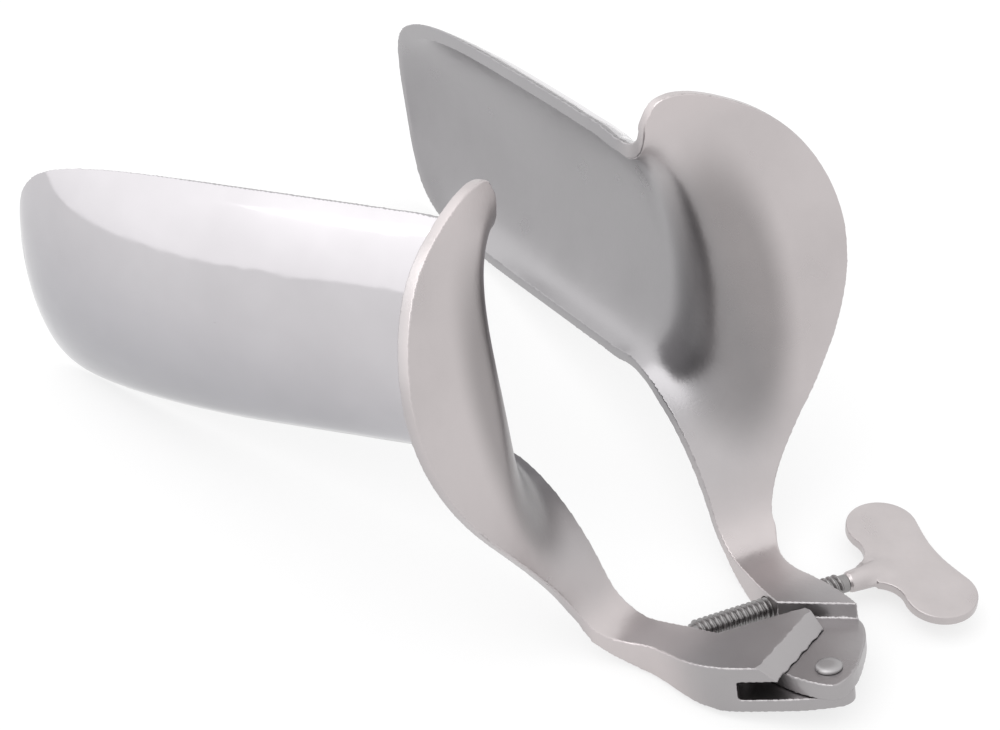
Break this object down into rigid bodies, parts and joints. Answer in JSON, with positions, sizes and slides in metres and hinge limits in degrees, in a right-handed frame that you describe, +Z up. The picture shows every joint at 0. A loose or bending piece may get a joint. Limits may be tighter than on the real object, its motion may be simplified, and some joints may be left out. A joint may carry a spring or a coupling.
{
  "type": "vaginal speculum",
  "caption": "Two-bladed stainless steel speculum: hinged trough blades with flared mouth flanges, opened by a thumbscrew beside the hinge.",
  "frame": {"origin": "middle of the opened instrument's footprint, on the table it rests on", "axes": "+Z up, blades towards -X, hinge towards +X; the far blade, which carries the screw, on +Y"},
  "size_m": [0.1654, 0.0948, 0.0751],
  "materials": {
    "polished_steel": "polished outside, satin inside",
    "satin_steel": "satin"
  },
  "bodies": {
    "near_half": {"near_blade": "polished_steel", "hinge_pin": "satin_steel"},
    "far_half": {"far_blade": "polished_steel"},
    "screw": {"spreading_screw": "satin_steel"},
    "wing": {"wing_handle": "satin_steel"}
  },
  "joints": [
    {"name": "blade_hinge", "type": "hinge", "parent": "near_half", "child": "far_half", "pos_m": [0.07793, 0, 0.00781], "axis": [0.2636, 0, -0.9646], "range_deg": [-32.4, 7]},
    {"name": "screw_travel", "type": "slide", "parent": "far_half", "child": "screw", "axis": [-0.2812, -0.9592, -0.028], "range_m": [-0.01535, 0.0034]},
    {"name": "wing_turn", "type": "hinge", "parent": "screw", "child": "wing", "pos_m": [0.0577, 0.006, 0.00352], "axis": [-0.2812, -0.9592, -0.028], "range_deg": [-5510, 1200]}
  ],
  "couplings": [
    {"joint": "screw_travel", "follows": "blade_hinge", "m_per_rad": 0.027},
    {"joint": "wing_turn", "follows": "blade_hinge", "ratio": 169.65}
  ]
}
